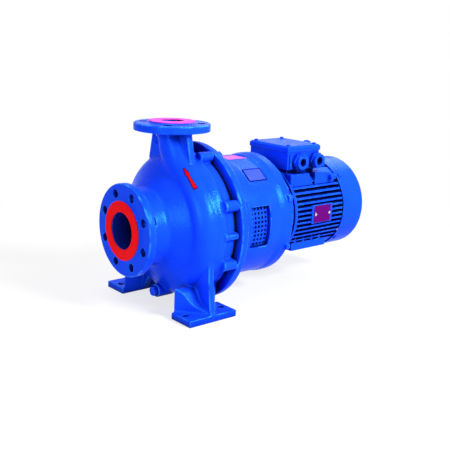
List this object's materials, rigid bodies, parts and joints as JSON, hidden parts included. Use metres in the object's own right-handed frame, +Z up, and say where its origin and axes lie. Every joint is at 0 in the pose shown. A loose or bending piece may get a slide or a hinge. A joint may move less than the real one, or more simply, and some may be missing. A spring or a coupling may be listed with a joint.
{
  "type": "close-coupled circulating pump",
  "caption": "Close-coupled end-suction circulating pump: volute casing on feet, flanged inlet and outlet, lantern with guards and a finned electric motor.",
  "frame": {"origin": "centre of the four foot bolt holes on the floor plane, below the discharge axis", "axes": "+X along the shaft from the suction flange to the motor, +Z up along the discharge axis, -Y the side of the cable entries"},
  "size_m": [0.6475, 0.354, 0.4065],
  "materials": {
    "blue_paint": "semi-gloss enamel over fine cast texture",
    "red_ring": "red protective coating",
    "bronze": "machined bronze",
    "cast_impeller": "cast, machined rims",
    "stainless": "ground",
    "cast_cover": "cast, painted",
    "fibre": "pressed fibre",
    "ceramic": "lapped ceramic",
    "carbon": "lapped carbon",
    "zinc_steel": "zinc plated",
    "bright_rivet": "bright",
    "plate_violet": "printed aluminium, bare of marks",
    "plate_magenta": "printed aluminium, bare of marks",
    "label_pink": "film, bare of marks",
    "lamination": "stacked sheet",
    "copper": "varnished copper wire",
    "rotor_alloy": "die cast on steel sheet",
    "bearing_steel": "polished",
    "black_rubber": "moulded",
    "black_plastic": "moulded",
    "brass": "turned"
  },
  "bodies": {
    "pump": {"cable_gland_1": "blue_paint", "cable_gland_2": "blue_paint", "casing_bolts": "blue_paint", "casing_cover": "cast_cover", "cover_gasket": "fibre", "cowl_screws": "zinc_steel", "discharge_gasket": "red_ring", "drain_plug": "blue_paint", "drive_bearing_outer_ring": "bearing_steel", "drive_end_shield": "blue_paint", "eye_bolt": "blue_paint", "fan_cowl": "blue_paint", "guard_far": "blue_paint", "guard_near": "blue_paint", "guard_screws": "zinc_steel", "lantern": "blue_paint", "lid_gasket": "black_rubber", "lid_screws": "zinc_steel", "motor_flange_bolts": "zinc_steel", "motor_frame": "blue_paint", "motor_nameplate": "plate_magenta", "nameplate_rivets": "bright_rivet", "preload_spring": "zinc_steel", "pump_nameplate": "plate_violet", "rear_bearing_outer_ring": "bearing_steel", "rear_shield": "blue_paint", "seal_seat": "ceramic", "stator_core": "lamination", "stator_winding": "copper", "suction_gasket": "red_ring", "terminal_board": "black_plastic", "terminal_box": "blue_paint", "terminal_box_lid": "blue_paint", "terminal_studs": "brass", "top_label": "label_pink", "volute_casing": "blue_paint", "wear_ring": "bronze"},
    "rotor": {"impeller": "cast_impeller", "impeller_key": "stainless", "impeller_washer": "stainless", "impeller_nut": "stainless", "stub_shaft": "stainless", "clamp_screws": "zinc_steel", "seal_ring": "carbon", "seal_collar": "stainless", "seal_spring": "stainless", "motor_shaft": "stainless", "rotor_core": "rotor_alloy", "shaft_v_ring": "black_rubber", "drive_bearing_inner_ring": "bearing_steel", "rear_bearing_inner_ring": "bearing_steel", "cooling_fan": "black_plastic", "fan_clip": "zinc_steel"},
    "drive_cage": {"drive_bearing_balls": "bearing_steel"},
    "rear_cage": {"rear_bearing_balls": "bearing_steel"}
  },
  "joints": [
    {"name": "shaft_spin", "type": "hinge", "parent": "pump", "child": "rotor", "pos_m": [0.1, 0, 0.18], "axis": [1, 0, 0], "continuous": true},
    {"name": "drive_cage_spin", "type": "hinge", "parent": "pump", "child": "drive_cage", "pos_m": [0.268, 0, 0.18], "axis": [1, 0, 0], "continuous": true},
    {"name": "rear_cage_spin", "type": "hinge", "parent": "pump", "child": "rear_cage", "pos_m": [0.449, 0, 0.18], "axis": [1, 0, 0], "continuous": true}
  ],
  "couplings": [
    {"joint": "drive_cage_spin", "follows": "shaft_spin", "ratio": 0.3824},
    {"joint": "rear_cage_spin", "follows": "shaft_spin", "ratio": 0.3967}
  ]
}
